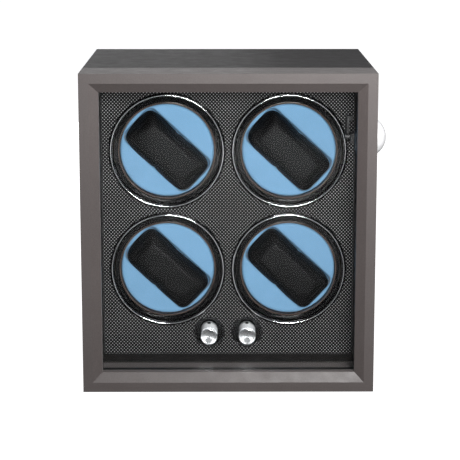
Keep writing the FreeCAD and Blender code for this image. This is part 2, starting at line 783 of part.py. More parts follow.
def knob_pocket(x):
    """Round cup behind the fascia with a thin rim on its face."""
    outer = POCKET_RADIUS + POCKET_WALL
    rim = outer + POCKET_RIM_WIDTH
    floor_front = POCKET_BACK - POCKET_FLOOR
    lip = FASCIA_FRONT - POCKET_RIM_PROUD
    profile = [
        (POCKET_RADIUS, lip),
        (POCKET_RADIUS, floor_front),
        (BUSH_RADIUS, floor_front),
        (BUSH_RADIUS, POCKET_BACK),
        (outer, POCKET_BACK),
        (outer, FASCIA_FRONT),
        (rim, FASCIA_FRONT),
        (rim, lip),
    ]
    return turned_y(x, KNOB_Z, profile)


def rotary_switch(x):
    half = SWITCH_BODY / 2.0
    body = box(x - half, x + half, POCKET_BACK, SWITCH_BACK, KNOB_Z - half, KNOB_Z + half)
    body = body.fuse(rod_y(x, KNOB_Z, BUSH_RADIUS, BUSH_FRONT, POCKET_BACK))
    bore_back = SWITCH_BACK - POCKET_FLOOR
    return body.cut(rod_y(x, KNOB_Z, STEM_RADIUS + RUNNING_FIT, BUSH_FRONT, bore_back))


def switch_nut(x):
    floor_front = POCKET_BACK - POCKET_FLOOR
    nut = hexagon_y(x, KNOB_Z, NUT_FLATS, floor_front - NUT_THICKNESS, floor_front)
    return nut.cut(rod_y(x, KNOB_Z, BUSH_RADIUS, floor_front - NUT_THICKNESS, floor_front))


def control_knob(x):
    front = FASCIA_FRONT - KNOB_PROUD
    back = BUSH_FRONT - KNOB_GROOVE
    stem_back = SWITCH_BACK - POCKET_FLOOR - KNOB_GROOVE
    waist = KNOB_RADIUS - KNOB_GROOVE
    collar = front + KNOB_COLLAR
    profile = [
        (0.0, front),
        (KNOB_RADIUS - KNOB_CHAMFER, front),
        (KNOB_RADIUS, front + KNOB_CHAMFER),
        (KNOB_RADIUS, collar),
        (waist, collar + KNOB_GROOVE),
        (KNOB_RADIUS, collar + 2.0 * KNOB_GROOVE),
        (KNOB_RADIUS, back),
        (STEM_RADIUS, back),
        (STEM_RADIUS, stem_back),
        (0.0, stem_back),
    ]
    knob = turned_y(x, KNOB_Z, profile)
    half = INDICATOR_WIDTH / 2.0
    mark_front = collar + 2.0 * KNOB_GROOVE
    mark_back = mark_front + INDICATOR_LENGTH
    top = KNOB_Z + KNOB_RADIUS
    mark = box(x - half, x + half, mark_front, mark_back, top - INDICATOR_DEPTH, top + half)
    return knob.cut(mark)


def control_board():
    half_x = BOARD_WIDTH / 2.0
    half_z = BOARD_HEIGHT / 2.0
    back = SWITCH_BACK + BOARD_THICKNESS
    board = box(-half_x, half_x, SWITCH_BACK, back, KNOB_Z - half_z, KNOB_Z + half_z)
    chip_half = BOARD_CHIP / 2.0
    chip_back = back + BOARD_CHIP_HEIGHT
    parts = []
    for x in (-half_x / 2.0, 0.0, half_x / 2.0):
        low = KNOB_Z - chip_half
        parts.append(box(x - chip_half, x + chip_half, back, chip_back, low, KNOB_Z + chip_half))
    return board.fuse(parts)


def lock_bushing():
    outside = WIDTH / 2.0
    flange = rod_x(LOCK_Y, LOCK_Z, LOCK_FLANGE_RADIUS, outside, outside + LOCK_FLANGE)
    tube = rod_x(LOCK_Y, LOCK_Z, LOCK_BUSH_RADIUS, LINING_X, outside)
    bore = LOCK_SHAFT_RADIUS + RUNNING_FIT
    hole = rod_x(LOCK_Y, LOCK_Z, bore, LINING_X, outside + LOCK_FLANGE)
    return flange.fuse(tube).cut(hole)


def lock_knob():
    """Hollow dome on the shaft that carries the pawl."""
    base_x = WIDTH / 2.0 + LOCK_FLANGE + LOCK_GAP
    dome_x = base_x + LOCK_DOME_BASE
    sphere = (LOCK_DOME_RADIUS ** 2 + LOCK_DOME_HEIGHT ** 2) / (2.0 * LOCK_DOME_HEIGHT)
    centre = Vector(dome_x + LOCK_DOME_HEIGHT - sphere, LOCK_Y, LOCK_Z)
    ball = Part.makeSphere(sphere, centre)
    inner_ball = Part.makeSphere(sphere - LOCK_SHELL, centre)
    far = dome_x + LOCK_DOME_HEIGHT
    cap = ball.common(rod_x(LOCK_Y, LOCK_Z, LOCK_DOME_RADIUS, dome_x, far))
    cap = cap.fuse(rod_x(LOCK_Y, LOCK_Z, LOCK_DOME_RADIUS, base_x, dome_x))
    room = LOCK_DOME_RADIUS - LOCK_SHELL
    cap = cap.cut(inner_ball.common(rod_x(LOCK_Y, LOCK_Z, room, base_x, far)))
    shaft = rod_x(LOCK_Y, LOCK_Z, LOCK_SHAFT_RADIUS, PAWL_IN, far - LOCK_SHELL / 2.0)
    knob = cap.fuse(shaft).removeSplitter()
    return knob.cut(lock_screw_thread())


def lock_screw_thread():
    return rod_x(LOCK_Y, LOCK_Z, SCREW_RADIUS, PAWL_IN, PAWL_IN + WOOD_SCREW_BITE)


def lock_screw():
    head = rod_x(LOCK_Y, LOCK_Z, PAWL_HUB_RADIUS, PAWL_IN - SCREW_HEAD_HEIGHT, PAWL_IN)
    return head.fuse(lock_screw_thread())


def lock_pawl():
    """Arm that stands upright when unlocked and points at the door when locked."""
    half = PAWL_WIDTH / 2.0
    tip = LOCK_Z + PAWL_LENGTH
    arm = box(PAWL_IN, PAWL_OUT, LOCK_Y - half, LOCK_Y + half, LOCK_Z, tip)
    hub = rod_x(LOCK_Y, LOCK_Z, PAWL_HUB_RADIUS, PAWL_IN, LINING_X - LOCK_GAP)
    lug_out = STRIKE_IN - PAWL_CLEARANCE
    lug = box(PAWL_OUT, lug_out, LOCK_Y - half, LOCK_Y + half, LOCK_Z + PAWL_LUG_INNER, tip)
    pawl = arm.fuse([hub, lug])
    return pawl.cut(rod_x(LOCK_Y, LOCK_Z, LOCK_SHAFT_RADIUS, PAWL_IN, LINING_X))


def lock_strike():
    """Hooked plate on the door that reaches past the seam beside the pawl."""
    base_back = DOOR_BACK - STRIKE_BASE_INSET
    base_front = base_back - STRIKE_BASE_DEPTH
    low = LOCK_Z - STRIKE_HALF_HEIGHT
    high = LOCK_Z + STRIKE_HALF_HEIGHT
    base = box(STRIKE_IN, INNER_X, base_front, base_back, low - STRIKE_HALF_HEIGHT,
               high + STRIKE_HALF_HEIGHT)
    tongue = box(STRIKE_IN, STRIKE_OUT, base_back, STRIKE_LUG_BACK, low, high)
    hook = box(STRIKE_LUG_IN, STRIKE_IN, STRIKE_LUG_FRONT, STRIKE_LUG_BACK, low, high)
    return base.fuse([tongue, hook])


def back_panel():
    panel = inset_block(WALL - REBATE_WIDTH + PANEL_CLEARANCE, PANEL_FRONT, PANEL_BACK)
    for x, z in panel_screw_places():
        panel = panel.cut(screw_hole(x, z, PANEL_BACK))
    panel = panel.cut(rod_y(-JACK_OFFSET, JACK_HEIGHT, JACK_BARREL_RADIUS, PANEL_FRONT, PANEL_BACK))
    half = VENT_LENGTH / 2.0
    first = ROTOR_MID_Z - VENT_PITCH * (VENT_COUNT - 1) / 2.0
    for row in range(VENT_COUNT):
        low = first + row * VENT_PITCH - VENT_WIDTH / 2.0
        panel = panel.cut(box(-half, half, PANEL_FRONT, PANEL_BACK, low, low + VENT_WIDTH))
    return panel


def power_jack():
    x = -JACK_OFFSET
    outer = PANEL_BACK + JACK_FLANGE
    front = PANEL_BACK - JACK_LENGTH
    jack = rod_y(x, JACK_HEIGHT, JACK_BARREL_RADIUS, front, PANEL_BACK)
    jack = jack.fuse(rod_y(x, JACK_HEIGHT, JACK_FLANGE_RADIUS, PANEL_BACK, outer))
    socket = rod_y(x, JACK_HEIGHT, JACK_BORE_RADIUS, outer - JACK_BORE_DEPTH, outer)
    pin_end = outer - JACK_FLANGE
    socket = socket.cut(rod_y(x, JACK_HEIGHT, JACK_PIN_RADIUS, outer - JACK_BORE_DEPTH, pin_end))
    return jack.cut(socket)


def jack_nut():
    front = PANEL_FRONT - NUT_THICKNESS
    flats = 2.0 * JACK_FLANGE_RADIUS
    nut = hexagon_y(-JACK_OFFSET, JACK_HEIGHT, flats, front, PANEL_FRONT)
    return nut.cut(rod_y(-JACK_OFFSET, JACK_HEIGHT, JACK_BARREL_RADIUS, front, PANEL_FRONT))


os.makedirs("parts", exist_ok=True)

for side in SIDES:
    save("case_" + side + "_board", case_board(side))
save("interior_lining", interior_lining())
save("foot_strip", foot_strip())
save("battens", battens())
save("fascia_panel", fascia_panel())
save("bezel_rings", group([bezel_ring(x, z) for x, z in ROTORS.values()]))
save("back_panel", back_panel())
pan_screws = [pan_screw(x, z, PANEL_BACK) for x, z in panel_screw_places()]
pan_screws += [pan_screw(x, z, PLATE_BACK) for x, z in plate_screw_places()]
save("pan_head_screws", group(pan_screws))
save("power_jack", power_jack())
save("jack_nut", jack_nut())

save("drive_plate", drive_plate())
save("rotor_bearings", group([rotor_bearing(x, z) for x, z in ROTORS.values()]))
save("motor_screws", motor_screws())
for name, x in COLUMNS.items():
    save("gear_motor_" + name, gear_motor(x))
    save("pinion_shaft_" + name, pinion_shaft(x))

for name, (x, z) in ROTORS.items():
    save("rotor_cup_" + name, rotor_cup(x, z))
    save("rotor_gear_" + name, rotor_gear(x, z))
    save("rotor_pad_" + name, rotor_pad(x, z))
    save("watch_cushion_" + name, watch_cushion(x, z))

for name, x in KNOBS.items():
    save("control_knob_" + name, control_knob(x))
save("knob_pockets", group([knob_pocket(x) for x in KNOBS.values()]))
save("rotary_switches", group([rotary_switch(x) for x in KNOBS.values()]))
save("switch_nuts", group([switch_nut(x) for x in KNOBS.values()]))
save("control_board", control_board())

for name, side in (("top_rail", "top"), ("bottom_rail", "bottom")):
    save("door_" + name, door_length(side))
for name, side in (("left_stile", "left"), ("right_stile", "right")):
    save("door_" + name, door_length(side))
save("door_glass", door_glass())
save("glass_gasket", glass_gasket())
for owner in ("case", "door"):
    save(owner + "_hinge_leaves", hinge_leaves(owner))
    save(owner + "_hinge_screws", hinge_screws(owner))
save("hinge_pins", hinge_pins())
save("case_magnets", magnets(CASE_FRONT, CASE_FRONT + MAGNET_DEPTH))
save("door_striker_plates", magnets(DOOR_BACK - STRIKER_DEPTH, DOOR_BACK))

save("lock_bushing", lock_bushing())
save("lock_knob", lock_knob())
save("lock_pawl", lock_pawl())
save("lock_screw", lock_screw())
save("lock_strike", lock_strike())
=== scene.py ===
import json
import math

import bmesh
import bpy
from mathutils import Matrix, Vector, noise
from mathutils.bvhtree import BVHTree


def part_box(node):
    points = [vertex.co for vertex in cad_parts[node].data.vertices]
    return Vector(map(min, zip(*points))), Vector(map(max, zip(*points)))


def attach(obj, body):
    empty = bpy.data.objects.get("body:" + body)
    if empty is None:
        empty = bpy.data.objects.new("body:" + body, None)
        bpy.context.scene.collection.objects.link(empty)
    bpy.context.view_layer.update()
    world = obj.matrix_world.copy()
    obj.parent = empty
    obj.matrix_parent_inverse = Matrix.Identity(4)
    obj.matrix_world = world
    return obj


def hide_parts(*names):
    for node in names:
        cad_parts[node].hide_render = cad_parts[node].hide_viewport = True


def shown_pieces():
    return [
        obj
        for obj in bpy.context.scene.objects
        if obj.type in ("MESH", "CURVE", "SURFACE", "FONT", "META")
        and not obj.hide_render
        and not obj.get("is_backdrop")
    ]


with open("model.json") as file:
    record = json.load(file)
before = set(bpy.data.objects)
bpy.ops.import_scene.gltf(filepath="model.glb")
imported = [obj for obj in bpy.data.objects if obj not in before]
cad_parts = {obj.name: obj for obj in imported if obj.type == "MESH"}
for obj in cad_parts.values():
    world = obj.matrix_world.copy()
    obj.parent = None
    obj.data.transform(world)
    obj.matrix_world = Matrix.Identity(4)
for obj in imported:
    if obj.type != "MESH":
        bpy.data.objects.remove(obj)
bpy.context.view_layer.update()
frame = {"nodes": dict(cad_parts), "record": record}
nodes = frame["nodes"]

MM = 0.001
ROTOR_NAMES = ("top_left", "top_right", "bottom_left", "bottom_right")
SIDE_NAMES = ("left", "right")


# ---------------------------------------------------------------- measures from the frame

def centre_of(node):
    low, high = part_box(node)
    return (low + high) / 2


def size_of(node):
    low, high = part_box(node)
    return high - low


# ---------------------------------------------------------------- material building

class Graph:
    """One node material, with short calls for the nodes this scene uses."""

    def __init__(self, name):
        self.mat = bpy.data.materials.new(name)
        self.mat.use_nodes = True
        self.tree = self.mat.node_tree
        self.shader = self.tree.nodes["Principled BSDF"]
        self.coords = self.tree.nodes.new("ShaderNodeTexCoord").outputs["Object"]

    def add(self, kind, inputs=None, **settings):
        node = self.tree.nodes.new(kind)
        for key, value in settings.items():
            setattr(node, key, value)
        for key, value in (inputs or {}).items():
            self.feed(node.inputs[key], value)
        return node

    def feed(self, socket, value):
        if isinstance(value, bpy.types.NodeSocket):
            self.tree.links.new(value, socket)
        else:
            socket.default_value = value

    def math(self, operation, first, second=0.0):
        node = self.add("ShaderNodeMath", {0: first, 1: second}, operation=operation)
        return node.outputs[0]

    def axes(self):
        node = self.add("ShaderNodeSeparateXYZ", {0: self.coords})
        return node.outputs[0], node.outputs[1], node.outputs[2]

    def noise(self, scale, detail=3.0, roughness=0.55, vector=None):
        node = self.add("ShaderNodeTexNoise", {
            "Vector": vector or self.coords, "Scale": scale, "Detail": detail,
            "Roughness": roughness})
        return node.outputs["Fac"]

    def cells(self, scale, feature="F1"):
        node = self.add("ShaderNodeTexVoronoi", {
            "Vector": self.coords, "Scale": scale}, feature=feature)
        return node.outputs["Distance"]

    def stretched(self, x, y, z):
        node = self.add("ShaderNodeMapping", {"Vector": self.coords, "Scale": (x, y, z)})
        return node.outputs[0]

    def ramp(self, fac, low, high, out_low=0.0, out_high=1.0):
        node = self.add("ShaderNodeMapRange", {
            "Value": fac, "From Min": low, "From Max": high,
            "To Min": out_low, "To Max": out_high})
        return node.outputs[0]

    def mix(self, fac, first, second):
        node = self.add("ShaderNodeMix", data_type="RGBA")
        self.feed(node.inputs[0], fac)
        self.feed(node.inputs[6], rgba(first))
        self.feed(node.inputs[7], rgba(second))
        return node.outputs[2]

    def bump(self, height, strength, distance, normal=None):
        inputs = {"Height": height, "Strength": strength, "Distance": distance}
        if normal is not None:
            inputs["Normal"] = normal
        return self.add("ShaderNodeBump", inputs).outputs[0]

    def surface(self, color, roughness, normal=None, **constants):
        self.feed(self.shader.inputs["Base Color"], rgba(color))
        self.feed(self.shader.inputs["Roughness"], roughness)
        if normal is not None:
            self.feed(self.shader.inputs["Normal"], normal)
        for key, value in constants.items():
            self.shader.inputs[key.replace("_", " ")].default_value = value
        return self.mat


def rgba(color):
    if isinstance(color, tuple) and len(color) == 3:
        return (*color, 1.0)
    return color


def tone(red, green, blue):
    """Linear colour from 0-255 display values."""
    linear = []
    for value in (red, green, blue):
        share = value / 255.0
        linear.append(share / 12.92 if share <= 0.04045 else ((share + 0.055) / 1.055) ** 2.4)
    return tuple(linear)


def scaled(color, factor):
    return tuple(min(1.0, part * factor) for part in color)


def wrap_material(name, color):
    """Fine-grained wrapped covering of the case and the door."""
    g = Graph(name)
    drift = g.noise(7.0, 2.0)
    grain = g.noise(1500.0, 3.0, 0.7)
    pores = g.cells(1100.0)
    fade = g.ramp(drift, 0.3, 0.7)
    base = g.mix(fade, scaled(color, 0.92), scaled(color, 1.08))
    flecks = g.ramp(grain, 0.35, 0.68)
    base = g.mix(g.math("MULTIPLY", flecks, 0.45), base, scaled(color, 1.9))
    mottle = g.ramp(g.noise(650.0, 2.0, 0.7), 0.42, 0.62)
    base = g.mix(g.math("MULTIPLY", mottle, 0.30), base, scaled(color, 0.55))
    dust = g.ramp(g.noise(420.0, 2.0), 0.62, 0.75)
    base = g.mix(g.math("MULTIPLY", dust, 0.10), base, scaled(color, 0.55))
    rough = g.ramp(g.noise(60.0, 3.0), 0.3, 0.7, 0.46, 0.58)
    skin = g.bump(pores, 0.40, 0.00012)
    skin = g.bump(grain, 0.45, 0.00014, skin)
    return g.surface(base, rough, skin, Specular_IOR_Level=0.34, Sheen_Weight=0.05,
                     Sheen_Roughness=0.5)


WEAVE_WIDTH = 0.0018
WEAVE_HEIGHT = 0.0019


def weave_material(name):
    """Plain weave of black fibres, one raised cell of each kind in turn; every other cell carries
    a painted highlight, brightest in its middle.
    """
    g = Graph(name)
    x, _, z = g.axes()
    across = g.math("MULTIPLY", x, 1.0 / WEAVE_WIDTH)
    up = g.math("MULTIPLY", z, 1.0 / WEAVE_HEIGHT)
    cell = g.math("ADD", g.math("FLOOR", across), g.math("FLOOR", up))
    parity = g.math("FLOORED_MODULO", cell, 2.0)
    bow_across = g.math("SINE", g.math("MULTIPLY", g.math("FRACT", across), math.pi))
    bow_up = g.math("SINE", g.math("MULTIPLY", g.math("FRACT", up), math.pi))
    warp = g.math("MULTIPLY", g.math("MULTIPLY", bow_across, bow_up), parity)
    weft_share = g.math("SUBTRACT", 1.0, parity)
    weft = g.math("MULTIPLY", g.math("MULTIPLY", bow_up, weft_share), 0.35)
    height = g.math("ADD", g.math("POWER", warp, 0.7), weft)
    fibre = g.noise(5200.0, 2.0, 0.6, g.stretched(1.0, 1.0, 0.15))
    # Painted highlight: the middle of every other cell is coloured near white, standing in for
    # the shine of its fibres.
    painted_highlight = g.math("MULTIPLY", g.math("POWER", warp, 4.0), g.ramp(fibre, 0.2, 0.8, 0.75, 1.0))
    cloud = g.ramp(g.noise(22.0, 3.0), 0.3, 0.7, 0.75, 1.1)
    base = g.mix(g.math("MULTIPLY", painted_highlight, cloud), tone(4, 4, 5), tone(252, 252, 253))
    rough = g.ramp(height, 0.0, 1.0, 0.6, 0.4)
    skin = g.bump(height, 0.3, 0.00018)
    return g.surface(base, rough, skin, Specular_IOR_Level=0.16)


def chrome_material(name):
    """Polished plating of the bezel beads, with faint smears."""
    g = Graph(name)
    smears = g.noise(38.0, 3.0)
    color = g.mix(g.ramp(smears, 0.35, 0.7), (0.66, 0.67, 0.69), (0.80, 0.81, 0.83))
    rough = g.ramp(g.noise(85.0, 4.0), 0.3, 0.75, 0.06, 0.13)
    skin = g.bump(g.noise(240.0, 2.0), 0.03, 0.00002)
    return g.surface(color, rough, skin, Metallic=1.0, Specular_IOR_Level=0.5)


def gloss_black_material(name):
    """Black lacquer of the bezel flanges, mirror-smooth with faint swirls."""
    g = Graph(name)
    drift = g.ramp(g.noise(55.0, 3.0), 0.3, 0.7)
    base = g.mix(drift, tone(5, 5, 6), tone(10, 10, 11))
    rough = g.ramp(g.noise(130.0, 4.0), 0.3, 0.75, 0.07, 0.10)
    skin = g.bump(g.noise(60.0, 2.0), 0.02, 0.00001)
    return g.surface(base, rough, skin, Specular_IOR_Level=0.3)


def cup_material(name, centre):
    """Black moulded drum whose inner land, beside the pad, is bronze coloured."""
    g = Graph(name)
    x, _, z = g.axes()
    across = g.math("SUBTRACT", x, centre.x)
    up = g.math("SUBTRACT", z, centre.z)
    radius = g.math("SQRT", g.math("ADD", g.math("MULTIPLY", across, across),
                                   g.math("MULTIPLY", up, up)))
    bronze = g.ramp(radius, BRONZE_RADIUS, BRONZE_RADIUS + 0.0002, 1.0, 0.0)
    drift = g.ramp(g.noise(40.0, 3.0), 0.3, 0.7)
    dark = g.mix(drift, tone(7, 7, 8), tone(13, 13, 14))
    warm = g.mix(drift, tone(70, 60, 56), tone(98, 84, 78))
    rough = g.ramp(g.noise(90.0, 3.0), 0.3, 0.75, 0.10, 0.14)
    skin = g.bump(g.noise(60.0, 2.0), 0.02, 0.00001)
    return g.surface(g.mix(bronze, dark, warm), rough, skin, Specular_IOR_Level=0.22)


def metal_material(name, color, low, high, brush=(1.0, 1.0, 1.0), strength=0.12):
    """Plain metal, rough from low to high, brushed along the axis with the smallest brush."""
    g = Graph(name)
    lines = g.noise(900.0, 3.0, 0.6, g.stretched(*brush))
    stain = g.ramp(g.noise(45.0, 3.0), 0.3, 0.75)
    base = g.mix(stain, scaled(color, 0.86), scaled(color, 1.07))
    rough = g.ramp(lines, 0.3, 0.7, low, high)
    skin = g.bump(lines, strength, 0.00006)
    return g.surface(base, rough, skin, Metallic=1.0, Specular_IOR_Level=0.5)


def satin_material(name, color):
    """Bright satin plating of the lock dome."""
    g = Graph(name)
    haze = g.ramp(g.noise(60.0, 3.0), 0.3, 0.75)
    base = g.mix(haze, scaled(color, 0.94), color)
    rough = g.ramp(g.noise(700.0, 3.0, 0.6, g.stretched(1.0, 0.1, 1.0)), 0.3, 0.7, 0.26, 0.38)
    skin = g.bump(g.noise(900.0, 2.0), 0.05, 0.00003)
    return g.surface(base, rough, skin, Metallic=0.35, Specular_IOR_Level=0.5)


def plastic_material(name, color, low, high, grain=700.0, strength=0.1, coat=0.0):
    """Moulded plastic, rubber or paint, rough from low to high, with a fine grain."""
    g = Graph(name)
    speck = g.noise(grain, 3.0, 0.6)
    drift = g.ramp(g.noise(14.0, 2.0), 0.3, 0.7)
    base = g.mix(drift, scaled(color, 0.85), scaled(color, 1.15))
    rough = g.ramp(g.noise(50.0, 3.0), 0.3, 0.75, low, high)
    skin = g.bump(speck, strength, 0.00006)
    return g.surface(base, rough, skin, Specular_IOR_Level=0.5, Coat_Weight=coat,
                     Coat_Roughness=0.08)


def pile_material(name, color):
    """Short soft suede of the rotor pads."""
    g = Graph(name)
    drift = g.ramp(g.noise(26.0, 3.0), 0.3, 0.7)
    pile = g.noise(3200.0, 2.0, 0.7)
    base = g.mix(drift, scaled(color, 0.95), scaled(color, 1.03))
    base = g.mix(g.math("MULTIPLY", g.ramp(pile, 0.35, 0.7), 0.16), base, scaled(color, 1.25))
    nap = g.noise(180.0, 3.0, 0.6, g.stretched(1.0, 1.0, 0.4))
    teal = (color[0] * 0.72, color[1] * 0.90, color[2] * 0.86)
    base = g.mix(g.math("MULTIPLY", g.ramp(nap, 0.5, 0.75), 0.18), base, teal)
    rough = g.ramp(pile, 0.2, 0.8, 0.62, 0.8)
    skin = g.bump(pile, 0.22, 0.00014)
    skin = g.bump(nap, 0.08, 0.0003, skin)
    return g.surface(base, rough, skin, Specular_IOR_Level=0.3, Sheen_Weight=0.25,
                     Sheen_Roughness=0.4)


def leather_material(name, color):
    """Finely pebbled leather, with painted shade making it a little darker between the pebbles.
    """
    g = Graph(name)
    pebble = g.cells(620.0, feature="SMOOTH_F1")
    fine = g.noise(1900.0, 3.0, 0.65)
    crease = g.noise(95.0, 4.0, 0.6, g.stretched(1.0, 1.0, 1.6))
    drift = g.ramp(g.noise(30.0, 2.0), 0.3, 0.7)
    base = g.mix(drift, scaled(color, 0.8), scaled(color, 1.25))
    # Painted shade: the colour is darker in the hollows between the pebbles.
    painted_hollow_shade = g.ramp(g.math("ADD", pebble, g.math("MULTIPLY", fine, 0.25)), 0.25, 0.75)
    base = g.mix(g.math("MULTIPLY", painted_hollow_shade, 0.35), base, scaled(color, 0.4))
    rough = g.ramp(g.math("ADD", g.math("MULTIPLY", pebble, 0.5), g.math("MULTIPLY", fine, 0.5)),
                   0.2, 0.8, 0.42, 0.62)
    skin = g.bump(g.math("SUBTRACT", 1.0, pebble), 0.1, 0.00006)
    skin = g.bump(crease, 0.25, 0.0006, skin)
    skin = g.bump(fine, 0.1, 0.00004, skin)
    return g.surface(base, rough, skin, Specular_IOR_Level=0.16)


def glass_material(name):
    """Clear coated pane: mostly see-through, with a thin reflection and faint smears."""
    g = Graph(name)
    g.tree.nodes.remove(g.shader)
    smear = g.ramp(g.noise(16.0, 4.0), 0.45, 0.8)
    fresnel = g.add("ShaderNodeFresnel", {"IOR": 1.5}).outputs[0]
    share = g.math("MULTIPLY", fresnel, 0.10)
    share = g.math("ADD", share, g.math("MULTIPLY", smear, 0.0015))
    clear = g.add("ShaderNodeBsdfTransparent", {"Color": (0.985, 0.99, 0.99, 1.0)}).outputs[0]
    rough = g.ramp(smear, 0.0, 1.0, 0.02, 0.08)
    shine = g.add("ShaderNodeBsdfGlossy", {"Color": (1.0, 1.0, 1.0, 1.0), "Roughness": rough})
    both = g.add("ShaderNodeMixShader", {0: share, 1: clear, 2: shine.outputs[0]}).outputs[0]
    out = g.tree.nodes["Material Output"]
    g.tree.links.new(both, out.inputs["Surface"])
    return g.mat


SPUN_PITCH = 0.00022


def spun_material(name, color):
    """Turned metal of the knobs: its tangents run round the object's own Z axis.

    The side is less metallic than the face; the change lies about 1 mm behind the front.
    """
    g = Graph(name)
    x, y, z = g.axes()
    radius = g.math("SQRT", g.math("ADD", g.math("MULTIPLY", x, x), g.math("MULTIPLY", y, y)))
    ring = g.math("SINE", g.math("MULTIPLY", radius, 2.0 * math.pi / SPUN_PITCH))
    scratch = g.noise(1300.0, 2.0)
    base = g.mix(g.ramp(g.noise(260.0, 3.0), 0.3, 0.7), scaled(color, 0.88), scaled(color, 1.06))
    rough = g.ramp(g.math("ADD", g.math("MULTIPLY", ring, 0.2), scratch), 0.2, 0.9, 0.24, 0.36)
    skin = g.bump(ring, 0.12, 0.00002)
    tangent = g.add("ShaderNodeTangent", direction_type="RADIAL", axis="Z").outputs[0]
    g.feed(g.shader.inputs["Tangent"], tangent)
    g.feed(g.shader.inputs["Metallic"], g.ramp(z, -0.0012, -0.0008, 0.35, 1.0))
    return g.surface(base, rough, skin, Anisotropic=0.82, Specular_IOR_Level=0.5)


# The bronze land of each drum reaches this far past the edge of its pad
BRONZE_REACH = 1.6 * MM
BRONZE_RADIUS = size_of("rotor_pad_top_left").x / 2 + BRONZE_REACH
TAUPE = tone(48, 43, 42)
MATERIALS = {
    "case_wrap": wrap_material("case_wrap", TAUPE),
    "lining": plastic_material("lining", tone(34, 30, 28), 0.5, 0.7, 900.0, 0.2),
    "rubber_black": plastic_material("rubber_black", tone(24, 23, 23), 0.55, 0.75, 800.0, 0.25),
    "raw_board": plastic_material("raw_board", tone(170, 150, 118), 0.7, 0.9, 500.0, 0.4),
    "fascia_weave": weave_material("fascia_weave"),
    "chrome_trim": chrome_material("chrome_trim"),
    "black_panel": plastic_material("black_panel", tone(42, 41, 42), 0.45, 0.62, 650.0, 0.3),
    "screw_steel": metal_material("screw_steel", tone(190, 190, 192), 0.25, 0.42),
    "jack_plastic": plastic_material("jack_plastic", tone(30, 30, 31), 0.35, 0.5),
    "nut_brass": metal_material("nut_brass", tone(214, 180, 110), 0.25, 0.4),
    "bearing_plastic": plastic_material("bearing_plastic", tone(225, 222, 212), 0.35, 0.5),
    "motor_metal": metal_material("motor_metal", tone(176, 178, 182), 0.25, 0.4, (1, 0.1, 1)),
    "bare_steel": metal_material("bare_steel", tone(196, 196, 198), 0.2, 0.36),
    "cup_black": plastic_material("cup_black", tone(20, 20, 21), 0.14, 0.26, 500.0, 0.04, 0.3),
    "gloss_black": gloss_black_material("gloss_black"),
    "gear_plastic": plastic_material("gear_plastic", tone(222, 219, 208), 0.35, 0.5),
    "pad_blue": pile_material("pad_blue", tone(128, 176, 214)),
    "cushion_leather": leather_material("cushion_leather", tone(15, 15, 16)),
    "knob_metal": spun_material("knob_metal", tone(236, 237, 239)),
    "board_green": plastic_material("board_green", tone(40, 110, 62), 0.3, 0.45),
    "clear_glass": glass_material("clear_glass"),
    "hinge_metal": metal_material("hinge_metal", tone(150, 150, 153), 0.28, 0.42, (1, 1, 0.1)),
    "magnet_metal": metal_material("magnet_metal", tone(205, 206, 208), 0.15, 0.3),
    "lock_black": plastic_material("lock_black", tone(34, 34, 35), 0.35, 0.5, 600.0, 0.12),
    "satin_dome": satin_material("satin_dome", tone(205, 205, 206)),
    "thread": plastic_material("thread", tone(30, 30, 31), 0.6, 0.8, 4000.0, 0.5),
    "dark_mark": plastic_material("dark_mark", tone(18, 18, 19), 0.4, 0.6),
}


# ---------------------------------------------------------------- mesh helpers

def paint(obj, slot):
    obj.data.materials.clear()
    obj.data.materials.append(MATERIALS[slot])


CASE_EDGE = 0.45 * MM
SMALL_EDGE = 0.3 * MM
EDGE_ANGLE = math.radians(30)


def soften_edges(obj, width):
    bevel = obj.modifiers.new("edge", "BEVEL")
    bevel.width = width
    bevel.segments = 2
    bevel.limit_method = "ANGLE"
    bevel.angle_limit = EDGE_ANGLE
    bevel.harden_normals = True


def new_object(name, mesh, look, body, place=None):
    """A piece with a look of its own and the body it rides on."""
    obj = bpy.data.objects.new(name, mesh)
    bpy.context.scene.collection.objects.link(obj)
    obj.data.materials.clear()
    obj.data.materials.append(MATERIALS[look])
    if place is not None:
        obj.matrix_world = place
        bpy.context.view_layer.update()
    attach(obj, body)
    return obj


# A profile point nearer the axis than this is taken as on it
ON_AXIS = 1e-7


def mesh_from(bm, name):
    mesh = bpy.data.meshes.new(name)
    bm.to_mesh(mesh)
    bm.free()
    return mesh


def shade_smooth(mesh):
    for face in mesh.polygons:
        face.use_smooth = True


def outward(bm):
    bmesh.ops.recalc_face_normals(bm, faces=bm.faces)


def turned_mesh(name, profile, steps, ripple=None):
    """Closed round mesh about the local Z axis, from (radius, height) points.

    A ripple is (lowest height, highest height, count, depth) of fine teeth cut in the side.
    """
    bm = bmesh.new()
    rings = []
    for radius, height in profile:
        if radius < ON_AXIS:
            rings.append([bm.verts.new((0.0, 0.0, height))])
            continue
        toothed = ripple is not None and ripple[0] <= height <= ripple[1]
        ring = []
        for step in range(steps):
            angle = 2.0 * math.pi * step / steps
            here = radius
            if toothed:
                here -= ripple[3] * abs(math.sin(ripple[2] * angle / 2.0))
            ring.append(bm.verts.new((here * math.cos(angle), here * math.sin(angle), height)))
        rings.append(ring)
    count = len(rings)
    closed = profile[0][0] > ON_AXIS and profile[-1][0] > ON_AXIS
    for index in range(count if closed else count - 1):
        near = rings[index]
        far = rings[(index + 1) % count]
        for step in range(steps):
            following = (step + 1) % steps
            corners = []
            for ring, order in ((near, (step, following)), (far, (following, step))):
                if len(ring) == 1:
                    corners.append(ring[0])
                else:
                    corners.extend(ring[i] for i in order)
            bm.faces.new(corners)
    outward(bm)
    mesh = mesh_from(bm, name)
    shade_smooth(mesh)
    return mesh


